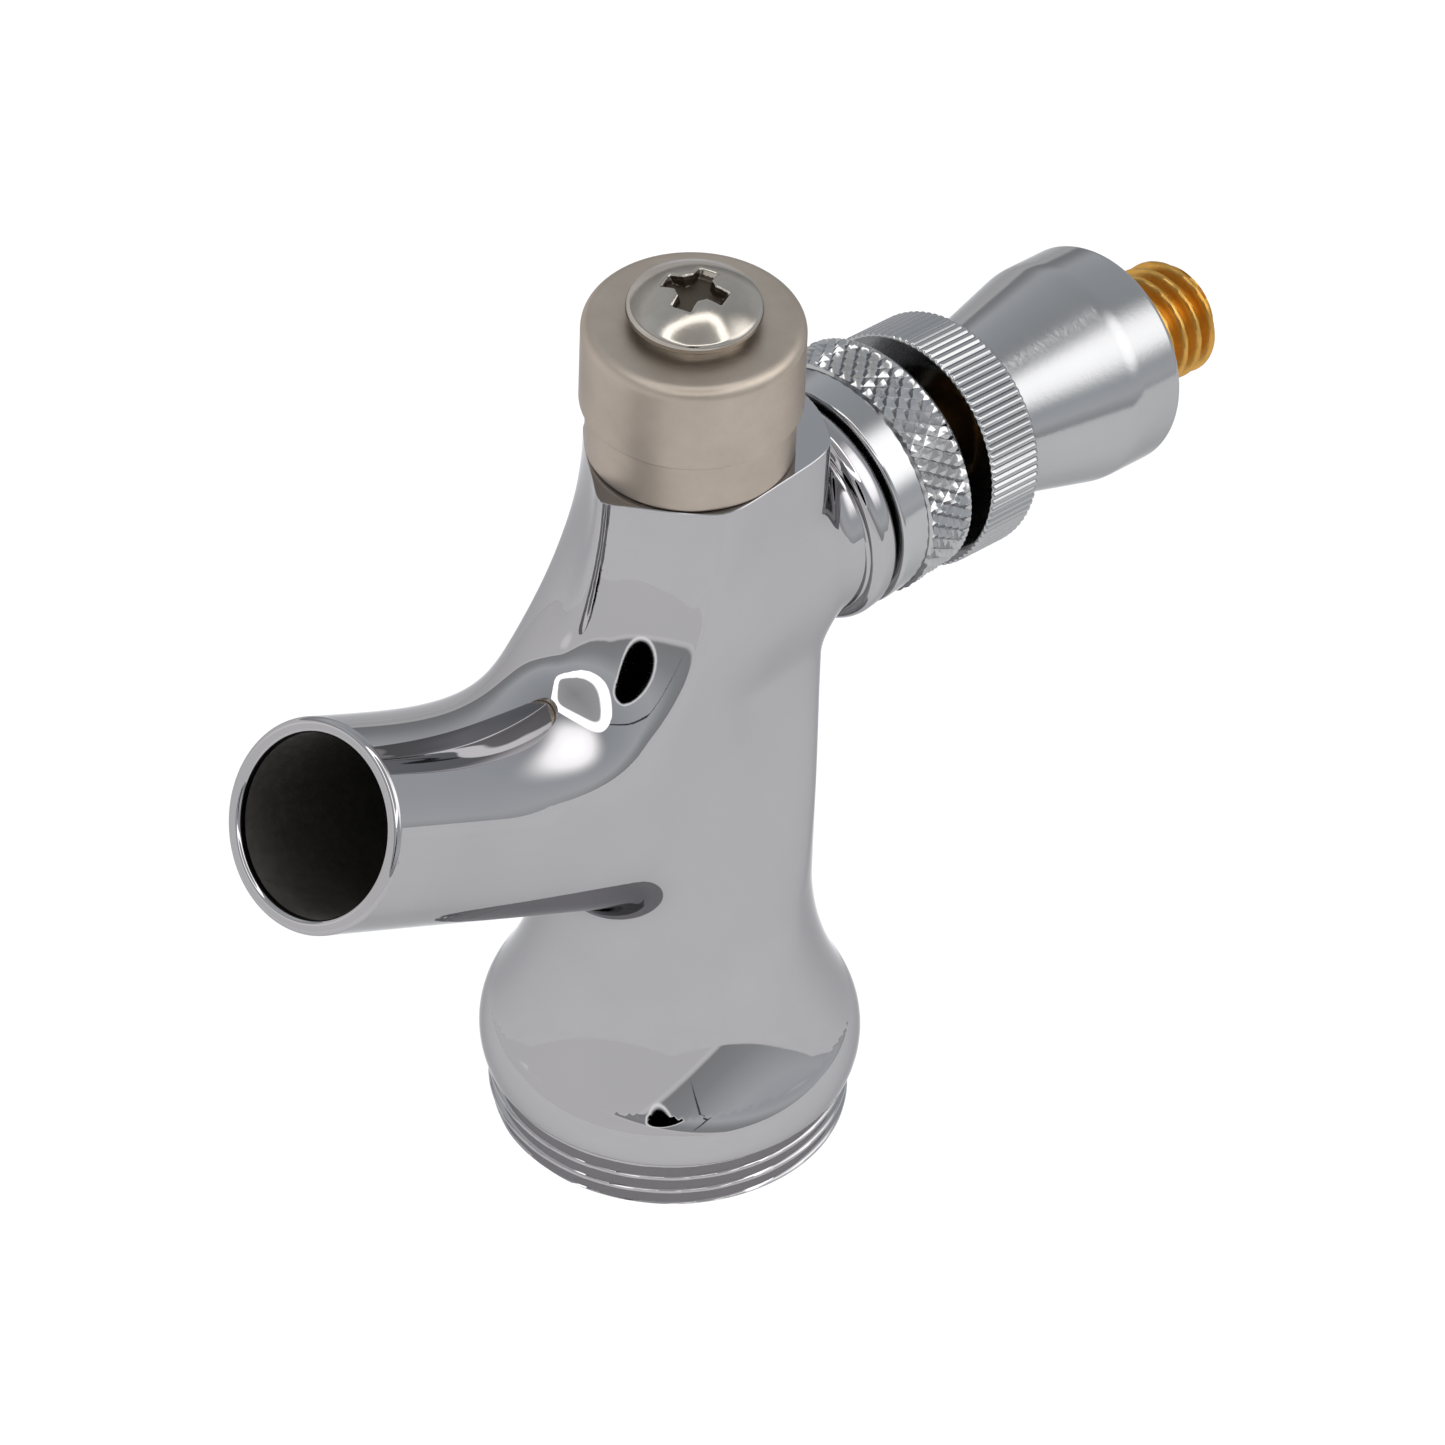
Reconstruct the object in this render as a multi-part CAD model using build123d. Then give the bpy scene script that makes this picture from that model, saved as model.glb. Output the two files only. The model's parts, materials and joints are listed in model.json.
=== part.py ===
"""Self-closing draft-beer faucet, standing on its threaded inlet end.

Frame: +Z runs up the body's axis, from the inlet end to the spring cap; the lever boss points along +Y
and the spout towards -Y; X = 0 is the plane of symmetry. The origin is the centre of the inlet's end
face. Lengths are millimetres, angles are degrees.
"""
import os
from math import cos, radians, sin

from build123d import *

# ---- Inlet end: 1-1/8 in - 18 coupling thread, socket and gasket ----
THREAD_DEPTH = 0.6134            # of the pitch, for an external 60 degree thread
INLET_THREAD_R = 14.2875         # crest radius, half of 1-1/8 in
INLET_THREAD_PITCH = 25.4 / 18
INLET_THREAD_RIDGES = 4
INLET_FIRST_CREST = 0.62         # height of the first ridge's middle
CREST_LAND = 0.36                # width of the flat on top of a ridge
INLET_RELIEF_TOP = 5.15          # where the thread meets the bell
SOCKET_R = 11.1                  # recess that takes the end of the shank
SOCKET_DEPTH = 3.2
GASKET_R = 10.2
GASKET_BORE_R = 7.9
GASKET_THICKNESS = 2.0
INLET_CHAMBER_R = 7.5
SEAT_Z = 14.0                    # the valve seat faces the inlet
PASSAGE_R = 5.0                  # bore from the seat up to the front guide
GUIDE_Z = 61.0                   # floor of the counterbore for the front guide
GUIDE_R = 6.0

# ---- Bell and barrel ----
BELL_LIP_R = 14.8                # edge of the bell, just above the thread
BELL_R = 15.1                    # its widest ring
BELL_WIDEST_Z = 6.7
BELL_FLANK = (14.2, 9.9)         # radius and height where the curve turns inward
BELL_WAIST = (12.2, 14.8)
BARREL_R = 10.7
BARREL_BASE_Z = 24.0
SHOULDER_Z = 46.0                # the barrel narrows from here to the front
SHOULDER_STEPS = ((9.6, 56.0), (8.4, 63.0))
FRONT_R = 8.2                    # radius, and half width, of the front end
FRONT_Z = 67.0                   # flat face under the spring cup
BACK_Y = 9.6                     # flat sides run back to here, into the boss
BACK_CHAMFER = 2.4
KEEL_Y = -8.7                    # soft ridge down the spout side

# ---- Spout ----
SPOUT_ANGLE = 29.14              # above the horizontal
SPOUT_MOUTH = (0, -39.56, 53.05)
SPOUT_R = 8.2
SPOUT_RIM_ROUND = 0.45
SPOUT_BORE_R = 7.0
SPOUT_BORE_LENGTH = 24.0
SPOUT_CORE_R = 6.7               # cast channel behind the finished bore
SPOUT_LENGTH = 45.0              # from the mouth to the barrel's axis
SPOUT_CORE_LENGTH = 43.0
WEB_R = 10.5                     # concave curve between barrel and spout
WEB_CENTRE = (-19.2, 63.0)       # its centre, as Y and Z
WEB_HALF_WIDTH = 5.0
WEB_FOOT = (-20.0, 45.0)         # a point inside the spout, as Y and Z
WEB_BASE_Z = 40.0                # and one inside the barrel

# ---- Lever boss, along +Y ----
LEVER_Z = 53.5
BOSS_NECK_R = 8.7
BOSS_COLLAR_R = 9.6
BOSS_COLLAR_START = 11.6
BOSS_COLLAR_SLOPE = 0.8
BOSS_END = 14.1
SPIGOT_R = 8.2                   # thread that carries the bonnet
SPIGOT_END = 17.5
BALL_POCKET_R = 6.6
BALL_POCKET_START = 8.0
LOWER_SEAT_END = 13.2
UPPER_SEAT_START = 15.4
LOWER_SEAT_BORE_R = 3.0
UPPER_SEAT_BORE_R = 4.0
RING_THICKNESS = 1.0             # friction washer under the bonnet
RING_BORE_R = 4.4
FINGER_PORT_R = 4.6

# ---- Lever ----
PIVOT_Y = 14.5
LEAN = 8.0                       # the closed lever leans this far towards the inlet
BALL_R = 5.0
BALL_GAP = 0.05                  # running gap between the ball and its seats
STEM_R = 3.2
FINGER_REACH = 14.5              # ball centre to finger centre
FINGER_R = 2.0
FINGER_NECK_R = 1.4
COLLAR_START = 9.6               # distances along the lever, from the pivot
COLLAR_FLANGE_END = 14.86
COLLAR_FLANGE_R = 9.67
COLLAR_NECK_R = 6.3
COLLAR_NECK_ROUND = 0.8
COLLAR_SKIRT_R = 9.06
COLLAR_SKIRT_START = 27.2
COLLAR_END = 32.14
COLLAR_BORE_R = 4.0              # root radius of the thread that holds the collar
STUD_R = 4.7625                  # 3/8 in - 16 thread
STUD_PITCH = 25.4 / 16
STUD_FIRST_CREST = 0.45          # middle of the first ridge, from the collar's face
STUD_END = 42.12

# ---- Bonnet ----
BONNET_START = 14.25
BONNET_R = 9.64
BONNET_KNURL_START = 16.91
BONNET_KNURL_R = 9.95
BONNET_END = 21.64
BONNET_RING_R = 7.6
BONNET_MOUTH_R = 4.7             # narrow end of the conical mouth
BONNET_MOUTH_OUTER_R = 5.1
EDGE_ROUND = 0.3

# ---- Valve shaft ----
SHAFT_REAR_R = 2.4
SHAFT_FRONT_R = 3.5
SHAFT_REAR_Z = 11.0
BLOCK_R = 4.2                    # thick part with the finger's cross hole
BLOCK_HALF = 3.6
FINGER_HOLE_R = 2.1
GUIDE_GAP = 0.03                 # running gap of the shaft in its front guide
ORING_R = 0.9
ORING_ROOM = 0.15                # groove wider than the ring by this on each side

# ---- Spring, cup, cap and screws ----
CUP_R = 8.0
CUP_TOP = 74.4
CAP_R = 8.52
CAP_BOTTOM = 71.74
CAP_TOP = 79.3
CAP_EDGE_R = 1.0
CUP_WALL = 0.45
CAP_WALL = 0.35
CUP_FLOOR = 0.5
CUP_BORE_R = 3.8
CAP_ROOF = 0.4
WIRE_R = 0.5
SPRING_R = 5.6
SPRING_TURNS = 4.5
LOCK_WASHER_R = 4.5
SCREW_HEAD_Z = 80.15
SCREW_HEAD_R = 5.2
SCREW_TOP = 82.7
SCREW_R = 2.5
SCREW_RIM = 0.7                  # straight edge of the head, below its dome
SCREW_END = 70.5
SCREW_HOLE_Z = 70.0
CROSS_WIDTH = 1.5                # cross recess
CROSS_SPAN = 6.0
CROSS_DEPTH = 2.8
CROSS_TWIST = 24.0

# ---- Seat washer and its screw ----
SEAT_WASHER_R = 6.8
BACKING_R = 5.5
BACKING_THICKNESS = 1.2
SEAT_SCREW_R = 1.6
SEAT_SCREW_END = 19.5
SEAT_SCREW_HOLE_END = 20.0
SEAT_HEAD_R = 3.9
SEAT_HEAD_HEIGHT = 2.2
SEAT_HEAD_ROUND = 0.8

finger = FINGER_REACH * sin(radians(LEAN))
finger_y = PIVOT_Y - FINGER_REACH * cos(radians(LEAN))
finger_z = LEVER_Z + finger


def at(radius, height):
    """Point of a half section in the XZ plane."""
    return (radius, 0, height)


def turned(*outline):
    """Solid turned about Z from (radius, height) corners; a third number rounds that corner."""
    face = make_face(Polyline(*[at(r, z) for r, z, *_ in outline], close=True))
    for r, z, *rounding in outline:
        if rounding:
            face = fillet(face.vertices().sort_by_distance(at(r, z))[0], rounding[0])
    return revolve(face, Axis.Z)


def ring(outer, inner, low, high):
    """Plain ring about Z."""
    return turned((inner, low), (outer, low), (outer, high), (inner, high))


def rod(radius, low, high):
    """Plain cylinder about Z."""
    return Pos(0, 0, low) * Cylinder(radius, high - low, align=(Align.CENTER, Align.CENTER, Align.MIN))


def ridged_edge(crest_r, root_r, pitch, first, count):
    """Outline of a thread as ring ridges, from the first ridge up."""
    slope = (pitch - CREST_LAND) / 2
    outline = []
    for i in range(count):
        middle = first + i * pitch
        outline += [(crest_r, middle - CREST_LAND / 2), (crest_r, middle + CREST_LAND / 2)]
        if i < count - 1:
            outline.append((root_r, middle + CREST_LAND / 2 + slope))
    return outline


def along_y(shape):
    """Turn a piece made about Z so that it lies along the boss, +Y, at the lever's height."""
    return Pos(0, 0, LEVER_Z) * Rot(-90, 0, 0) * shape


def along_lever(shape):
    """Put a piece made about Z on the closed lever, with its zero at the pivot."""
    return Pos(0, PIVOT_Y, LEVER_Z) * Rot(-90 - LEAN, 0, 0) * shape


def along_spout(shape):
    """Put a piece made about Z on the spout's axis, with its zero at the mouth, facing out."""
    return Pos(*SPOUT_MOUTH) * Rot(90 - SPOUT_ANGLE, 0, 0) * shape


def body_outside():
    """The casting's outer form: turned barrel, flat-sided front, spout with its web, and boss."""
    root_r = INLET_THREAD_R - THREAD_DEPTH * INLET_THREAD_PITCH
    lip = at(BELL_LIP_R, INLET_RELIEF_TOP)
    flank = at(*BELL_FLANK)
    thread = ridged_edge(INLET_THREAD_R, root_r, INLET_THREAD_PITCH, INLET_FIRST_CREST,
                         INLET_THREAD_RIDGES)
    foot = Polyline(at(0, 0), at(root_r, 0), *[at(r, z) for r, z in thread],
                    at(root_r, INLET_RELIEF_TOP), lip)
    bell = ThreePointArc(lip, at(BELL_R, BELL_WIDEST_Z), flank)
    sweep_in = ThreePointArc(flank, at(*BELL_WAIST), at(BARREL_R, BARREL_BASE_Z))
    side = Line(at(BARREL_R, BARREL_BASE_Z), at(BARREL_R, SHOULDER_Z))
    shoulder = Spline(at(BARREL_R, SHOULDER_Z), *[at(r, z) for r, z in SHOULDER_STEPS],
                      at(FRONT_R, FRONT_Z))
    top = Polyline(at(FRONT_R, FRONT_Z), at(0, FRONT_Z), at(0, 0))
    barrel = revolve(make_face(foot + bell + sweep_in + side + shoulder + top), Axis.Z)

    flats = Pos(0, 0, SHOULDER_Z) * Box(2 * FRONT_R, BACK_Y, FRONT_Z - SHOULDER_Z,
                                        align=(Align.CENTER, Align.MIN, Align.MIN))
    back_edges = flats.edges().filter_by(Axis.X).group_by(Axis.Y)[-1]
    flats = chamfer(back_edges, BACK_CHAMFER)

    spout = along_spout(turned((0, -SPOUT_LENGTH), (SPOUT_R, -SPOUT_LENGTH),
                               (SPOUT_R, 0, SPOUT_RIM_ROUND), (0, 0)))
    boss = along_y(turned((0, 0), (BOSS_NECK_R, 0), (BOSS_NECK_R, BOSS_COLLAR_START - BOSS_COLLAR_SLOPE),
                          (BOSS_COLLAR_R, BOSS_COLLAR_START), (BOSS_COLLAR_R, BOSS_END),
                          (SPIGOT_R, BOSS_END), (SPIGOT_R, SPIGOT_END), (0, SPIGOT_END)))
    return barrel + flats + spout + web() + boss


def web():
    """Concave web in the corner between barrel and spout, with the keel above it."""
    centre_y, centre_z = WEB_CENTRE

    def on_curve(angle):
        return (0, centre_y + WEB_R * cos(radians(angle)), centre_z + WEB_R * sin(radians(angle)))

    start, tip = (0, KEEL_Y, centre_z), on_curve(-90 - SPOUT_ANGLE)
    arc = ThreePointArc(start, on_curve((-90 - SPOUT_ANGLE) / 2), tip)
    rest = Polyline(tip, (0, *WEB_FOOT), (0, 0, WEB_BASE_Z), (0, 0, FRONT_Z), (0, KEEL_Y, FRONT_Z), start)
    return extrude(make_face(arc + rest), amount=WEB_HALF_WIDTH, dir=(1, 0, 0), both=True)


def body_hollow():
    """Everything bored out of the casting."""
    shoulder_z = SOCKET_DEPTH + GASKET_THICKNESS
    inlet = turned((0, 0), (SOCKET_R, 0), (SOCKET_R, SOCKET_DEPTH), (GASKET_R, SOCKET_DEPTH),
                   (GASKET_R, shoulder_z), (INLET_CHAMBER_R, shoulder_z), (INLET_CHAMBER_R, SEAT_Z),
                   (PASSAGE_R, SEAT_Z), (PASSAGE_R, GUIDE_Z), (GUIDE_R, GUIDE_Z),
                   (GUIDE_R, FRONT_Z), (0, FRONT_Z))
    outlet = along_spout(rod(SPOUT_BORE_R, -SPOUT_BORE_LENGTH, 0)
                         + rod(SPOUT_CORE_R, -SPOUT_CORE_LENGTH, -SPOUT_BORE_LENGTH))
    pocket = along_y(rod(FINGER_PORT_R, 0, BALL_POCKET_START)
                     + rod(BALL_POCKET_R, BALL_POCKET_START, SPIGOT_END))
    return inlet + outlet + pocket


def faucet_body():
    return body_outside() - body_hollow()


def shank_gasket():
    return ring(GASKET_R, GASKET_BORE_R, SOCKET_DEPTH, SOCKET_DEPTH + GASKET_THICKNESS)


def ball_seat(low, high, bore_r):
    """Ring in the boss pocket with a round seat that leaves the ball a running gap."""
    blank = ring(BALL_POCKET_R, bore_r, low, high)
    return along_y(blank - Pos(0, 0, PIVOT_Y) * Sphere(BALL_R + BALL_GAP))


def lever_bushing():
    return ball_seat(BALL_POCKET_START, LOWER_SEAT_END, LOWER_SEAT_BORE_R)


def ball_washer():
    return ball_seat(UPPER_SEAT_START, SPIGOT_END, UPPER_SEAT_BORE_R)


def friction_washer():
    return along_y(ring(BONNET_RING_R, RING_BORE_R, SPIGOT_END, SPIGOT_END + RING_THICKNESS))


def compression_bonnet():
    ring_end = SPIGOT_END + RING_THICKNESS
    return along_y(turned((SPIGOT_R, BONNET_START), (BONNET_R, BONNET_START, EDGE_ROUND),
                          (BONNET_R, BONNET_KNURL_START), (BONNET_KNURL_R, BONNET_KNURL_START),
                          (BONNET_KNURL_R, BONNET_END, EDGE_ROUND), (BONNET_MOUTH_OUTER_R, BONNET_END),
                          (BONNET_MOUTH_R, ring_end), (BONNET_RING_R, ring_end),
                          (BONNET_RING_R, SPIGOT_END), (SPIGOT_R, SPIGOT_END)))


def valve_shaft():
    roof = CAP_TOP - CAP_ROOF
    block = rod(BLOCK_R, finger_z - BLOCK_HALF, finger_z + BLOCK_HALF)
    rear = rod(SHAFT_REAR_R, SHAFT_REAR_Z, finger_z) - rod(SEAT_SCREW_R, SHAFT_REAR_Z, SEAT_SCREW_HOLE_END)
    front = rod(SHAFT_FRONT_R, finger_z, roof) - rod(SCREW_R, SCREW_HOLE_Z, roof)
    cross_hole = Pos(0, 0, finger_z) * Rot(90, 0, 0) * Cylinder(FINGER_HOLE_R, 4 * BLOCK_R)
    return rear + block + front - cross_hole


def seat_washer():
    return ring(SEAT_WASHER_R, SHAFT_REAR_R, SHAFT_REAR_Z, SEAT_Z)


def seat_backing_washer():
    return ring(BACKING_R, SEAT_SCREW_R, SHAFT_REAR_Z - BACKING_THICKNESS, SHAFT_REAR_Z)


def seat_screw():
    head_top = SHAFT_REAR_Z - BACKING_THICKNESS
    head_base = head_top - SEAT_HEAD_HEIGHT
    return turned((0, head_base), (SEAT_HEAD_R, head_base, SEAT_HEAD_ROUND), (SEAT_HEAD_R, head_top),
                  (SEAT_SCREW_R, head_top), (SEAT_SCREW_R, SEAT_SCREW_END), (0, SEAT_SCREW_END))


def shaft_guide_bushing():
    bore_r = SHAFT_FRONT_R + GUIDE_GAP
    groove_r = bore_r + 2 * ORING_R + ORING_ROOM
    middle = (GUIDE_Z + FRONT_Z) / 2
    half = ORING_R + ORING_ROOM
    return turned((bore_r, GUIDE_Z), (GUIDE_R, GUIDE_Z), (GUIDE_R, FRONT_Z), (bore_r, FRONT_Z),
                  (bore_r, middle + half), (groove_r, middle + half), (groove_r, middle - half),
                  (bore_r, middle - half))


def shaft_oring():
    middle = (GUIDE_Z + FRONT_Z) / 2
    return Pos(0, 0, middle) * Torus(SHAFT_FRONT_R + GUIDE_GAP + ORING_R, ORING_R)


def spring_cup():
    return turned((CUP_BORE_R, FRONT_Z), (CUP_R, FRONT_Z, EDGE_ROUND), (CUP_R, CUP_TOP),
                  (CUP_R - CUP_WALL, CUP_TOP), (CUP_R - CUP_WALL, FRONT_Z + CUP_FLOOR),
                  (CUP_BORE_R, FRONT_Z + CUP_FLOOR))


def spring_cap():
    roof = CAP_TOP - CAP_ROOF
    inner_r = CAP_R - CAP_WALL
    return turned((SCREW_R, roof), (inner_r, roof, CAP_EDGE_R - CAP_WALL), (inner_r, CAP_BOTTOM),
                  (CAP_R, CAP_BOTTOM), (CAP_R, CAP_TOP, CAP_EDGE_R), (SCREW_R, CAP_TOP))


def closing_spring():
    low = FRONT_Z + CUP_FLOOR + WIRE_R
    high = CAP_TOP - CAP_ROOF - WIRE_R
    path = Helix(pitch=(high - low) / SPRING_TURNS, height=high - low, radius=SPRING_R)
    start = Plane(origin=path @ 0, z_dir=path % 0)
    return Pos(0, 0, low) * sweep(start * Circle(WIRE_R), path=path, is_frenet=True)


def cap_lock_washer():
    return ring(LOCK_WASHER_R, SCREW_R, CAP_TOP, SCREW_HEAD_Z)


def cap_screw():
    """Pan head with a cross recess, on a plain shank."""
    rise = SCREW_TOP - SCREW_HEAD_Z - SCREW_RIM
    dome_r = (SCREW_HEAD_R ** 2 + rise ** 2) / (2 * rise)
    head = rod(SCREW_HEAD_R, SCREW_HEAD_Z, SCREW_TOP) & Pos(0, 0, SCREW_TOP - dome_r) * Sphere(dome_r)
    cross = Box(CROSS_SPAN, CROSS_WIDTH, CROSS_DEPTH) + Box(CROSS_WIDTH, CROSS_SPAN, CROSS_DEPTH)
    taper = Cone(CROSS_WIDTH / 2, CROSS_SPAN / 2, CROSS_DEPTH)
    recess = Pos(0, 0, SCREW_TOP - CROSS_DEPTH / 2) * Rot(0, 0, CROSS_TWIST) * (cross & taper)
    return head + rod(SCREW_R, SCREW_END, SCREW_HEAD_Z) - recess


def lever_stem():
    """Finger, ball, neck and stud in one brass piece; the stud's thread is drawn as ring ridges."""
    root_r = STUD_R - THREAD_DEPTH * STUD_PITCH
    first = COLLAR_END + STUD_FIRST_CREST
    count = int((STUD_END - STUD_FIRST_CREST - first) / STUD_PITCH) + 1
    core = turned((0, 0), (STEM_R, 0), (STEM_R, COLLAR_START), (COLLAR_BORE_R, COLLAR_START),
                  (COLLAR_BORE_R, COLLAR_END), (root_r, COLLAR_END),
                  *ridged_edge(STUD_R, root_r, STUD_PITCH, first, count),
                  (root_r, STUD_END), (0, STUD_END))
    tip = rod(FINGER_NECK_R, -FINGER_REACH, 0) + Pos(0, 0, -FINGER_REACH) * Sphere(FINGER_R)
    return along_lever(core + Sphere(BALL_R) + tip)


def lever_collar():
    return along_lever(turned((COLLAR_BORE_R, COLLAR_START), (COLLAR_FLANGE_R, COLLAR_START, EDGE_ROUND),
                              (COLLAR_FLANGE_R, COLLAR_FLANGE_END, EDGE_ROUND),
                              (COLLAR_NECK_R, COLLAR_FLANGE_END, COLLAR_NECK_ROUND),
                              (COLLAR_SKIRT_R, COLLAR_SKIRT_START), (COLLAR_SKIRT_R, COLLAR_END, EDGE_ROUND),
                              (COLLAR_BORE_R, COLLAR_END)))


PIECES = (faucet_body, shank_gasket, lever_bushing, ball_washer, friction_washer, compression_bonnet,
          shaft_guide_bushing, shaft_oring, spring_cup, valve_shaft, seat_washer, seat_backing_washer,
          seat_screw, spring_cap, cap_lock_washer, cap_screw, closing_spring, lever_stem, lever_collar)

os.makedirs("parts", exist_ok=True)
for make in PIECES:
    piece = make()
    piece.label = make.__name__
    export_step(piece, f"parts/{make.__name__}.step")
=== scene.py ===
"""Looks of the self-closing beer faucet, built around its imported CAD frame.

Shapes are worked out in millimetres, in the frame's own axes, and become metres when a mesh is made:
+Z runs up the body to the spring cap, +Y to the lever, -Y to the spout, and X = 0 is the mirror plane.
"""
import json
import math

import bmesh
import bpy
import numpy as np
from mathutils import Matrix, Vector


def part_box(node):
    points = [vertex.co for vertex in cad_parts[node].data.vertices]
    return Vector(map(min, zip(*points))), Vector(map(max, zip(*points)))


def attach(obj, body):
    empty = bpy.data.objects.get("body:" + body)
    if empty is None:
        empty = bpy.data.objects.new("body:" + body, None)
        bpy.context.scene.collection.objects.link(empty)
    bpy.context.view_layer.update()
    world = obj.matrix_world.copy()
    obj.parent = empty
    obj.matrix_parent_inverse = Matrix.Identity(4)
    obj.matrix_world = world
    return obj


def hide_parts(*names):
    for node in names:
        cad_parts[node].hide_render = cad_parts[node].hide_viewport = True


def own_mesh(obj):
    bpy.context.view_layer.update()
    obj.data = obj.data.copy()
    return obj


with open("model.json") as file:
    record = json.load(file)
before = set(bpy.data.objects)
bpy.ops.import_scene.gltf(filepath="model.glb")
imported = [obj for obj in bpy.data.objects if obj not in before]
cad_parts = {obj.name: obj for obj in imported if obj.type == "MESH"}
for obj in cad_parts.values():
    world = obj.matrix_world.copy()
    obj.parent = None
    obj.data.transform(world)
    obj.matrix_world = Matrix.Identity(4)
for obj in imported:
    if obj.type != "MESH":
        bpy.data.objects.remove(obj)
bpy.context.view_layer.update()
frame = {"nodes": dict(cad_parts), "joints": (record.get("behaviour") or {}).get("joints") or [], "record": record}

MM = 0.001
TINY = 1e-6
TURN = 2 * math.pi
X, Y, Z = np.eye(3)
mounts = {m["name"]: m for m in frame["record"]["mounts"]}
joints = {j["name"]: j for j in frame["joints"]}


def box_mm(node):
    """Lowest and highest corner of a CAD node, in millimetres."""
    low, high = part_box(node)
    return np.array(low) / MM, np.array(high) / MM


# ---- Places taken from the frame ----
MOUTH = np.array(mounts["spout_bore"]["pos_m"]) / MM
SPOUT_AXIS = np.array(mounts["spout_bore"]["axis"])
SPOUT_BORE_R = mounts["spout_bore"]["dims"]["r_mm"]
SPOUT_BORE_LENGTH = mounts["spout_bore"]["dims"]["length_mm"]
INLET_R = mounts["shank_thread"]["dims"]["r_mm"]
SOCKET_R = mounts["inlet_socket"]["dims"]["r_mm"]
SOCKET_DEPTH = mounts["inlet_socket"]["dims"]["length_mm"]
STUD_R = mounts["handle_stud"]["dims"]["r_mm"]
LEVER_AXIS = np.array(mounts["handle_stud"]["axis"])
PIVOT = np.array(joints["lever_tilt"]["pos_m"]) / MM
FRONT_Z = box_mm("faucet_body")[1][2]
GUIDE_Z = box_mm("shaft_guide_bushing")[0][2]
GUIDE_R = box_mm("shaft_guide_bushing")[1][0]
BONNET_START, BONNET_END = (box_mm("compression_bonnet")[i][1] for i in (0, 1))
CUP_R = box_mm("spring_cup")[1][0]
CAP_R = box_mm("spring_cap")[1][0]
CAP_BOTTOM, CAP_TOP = (box_mm("spring_cap")[i][2] for i in (0, 1))
SCREW_TOP = box_mm("cap_screw")[1][2]
HEAD_R = box_mm("cap_screw")[1][0]
HEAD_BASE = box_mm("cap_lock_washer")[1][2]

# ---- Sizes of the casting ----
SPOUT_R = 8.2
SPOUT_TAIL, SPOUT_SPARE = 42.5, 6.0   # its field runs this far back from the mouth, and past it
BARREL_R = 10.7
BELL_ARC = ((14.8, 5.15), (15.1, 6.7), (14.2, 9.9))       # radius and height of three points
WAIST_ARC = ((14.2, 9.9), (12.2, 14.8), (10.7, 24.0))
THREAD_TOP = 5.15
FLAT_HALF = 8.2              # half width of the flat sides at the front face
FLAT_TAPER = (15.0, 44.0)    # the sides narrow between these heights
FLAT_CLEARANCE = 1.2         # below the taper the side planes stand this far off the barrel
FLAT_ROUND = 1.4
FACETS = ((0.454, -0.891, 8.3), (0.74, -0.673, 8.2))     # normal (X, Y), and distance out at the top
FACET_ROUND = 1.6
KEEL_RISE = 0.45             # the keel stands this far proud of the facets
KEEL_WIDTH = 1.7
KEEL_ROUND = 0.3             # square of the width over which the two front facets meet
FACET_SPREAD = 0.0115        # the facets run out towards the barrel with the square of the depth
SPOUT_BLEND = 4.0            # reach of the spout's blend into the barrel on its under side
SADDLE_BLEND = 19.0          # what the saddle above the spout adds to that reach
SADDLE_START, SADDLE_RUN = 2.0, 8.0   # Y at which the saddle starts, and the length over which it grows
SADDLE_LOW, SADDLE_TURN = 0.2, 1.1    # the same round the spout, in cosines of the angle from its top
TRIM_ROUND = 1.2             # edge where the side planes trim the blend
BOSS_NECK_R = 8.6
BOSS_TAIL, BOSS_SPARE = 14.0, 9.0     # the neck's field runs this far behind the pivot, and before it
BOSS_FILLET = 2.0
BOSS_CUT = 11.0              # the turned collar starts here
PASSAGE_R = 5.0
PASSAGE_SPAN = (5.0, 70.0)   # heights of the passage's field, before it is cut at both ends
CORE_R = 6.7
CORE_SPAN = (41.0, 15.0)     # the cast channel's field, behind the mouth
CORE_FILLET = 1.0
PORT_R = 4.6
PORT_FILLET = 0.6
BALL_ROOM_R, BALL_ROOM_FLOOR = 6.6, 8.0
SPIGOT_R, SPIGOT_END = 8.2, 17.5
GASKET_R = 10.2
CHAMBER_R = 7.5
CHAMBER_START = 5.2
SEAT_Z = 14.0
THREAD_DEPTH = 0.6134        # of a 60 degree thread, in pitches
INLET_PITCH = 25.4 / 18
INLET_ROOT_R = INLET_R - THREAD_DEPTH * INLET_PITCH
SKIN_BOX = ((-16.3, -46, 4), (16.3, 16, 69))
SKIN_STEP = 0.45
HOLLOW_BOX = ((-8, -30, 12), (8, 12, 62))
HOLLOW_STEP = 0.8


# ---------------------------------------------------------------- smooth fields
def smooth_max(a, b, k):
    """Larger of two fields, rounded over a width k."""
    h = np.maximum(k - np.abs(a - b), 0) / k
    return np.maximum(a, b) + h * h * k / 4


def blend_union(a, b, r):
    """Union of two fields with a round fillet of size r."""
    return np.maximum(r, np.minimum(a, b)) - np.hypot(np.maximum(r - a, 0), np.maximum(r - b, 0))


def soft_union(a, b, k):
    """Union of two fields whose blend, within k, starts and ends without a change of curvature."""
    h = np.maximum(k - np.abs(a - b), 0) / k
    return np.minimum(a, b) - h ** 3 * k / 6


def ease(t):
    """Smooth step from 0 to 1."""
    t = np.clip(t, 0, 1)
    return t * t * (3 - 2 * t)


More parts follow.
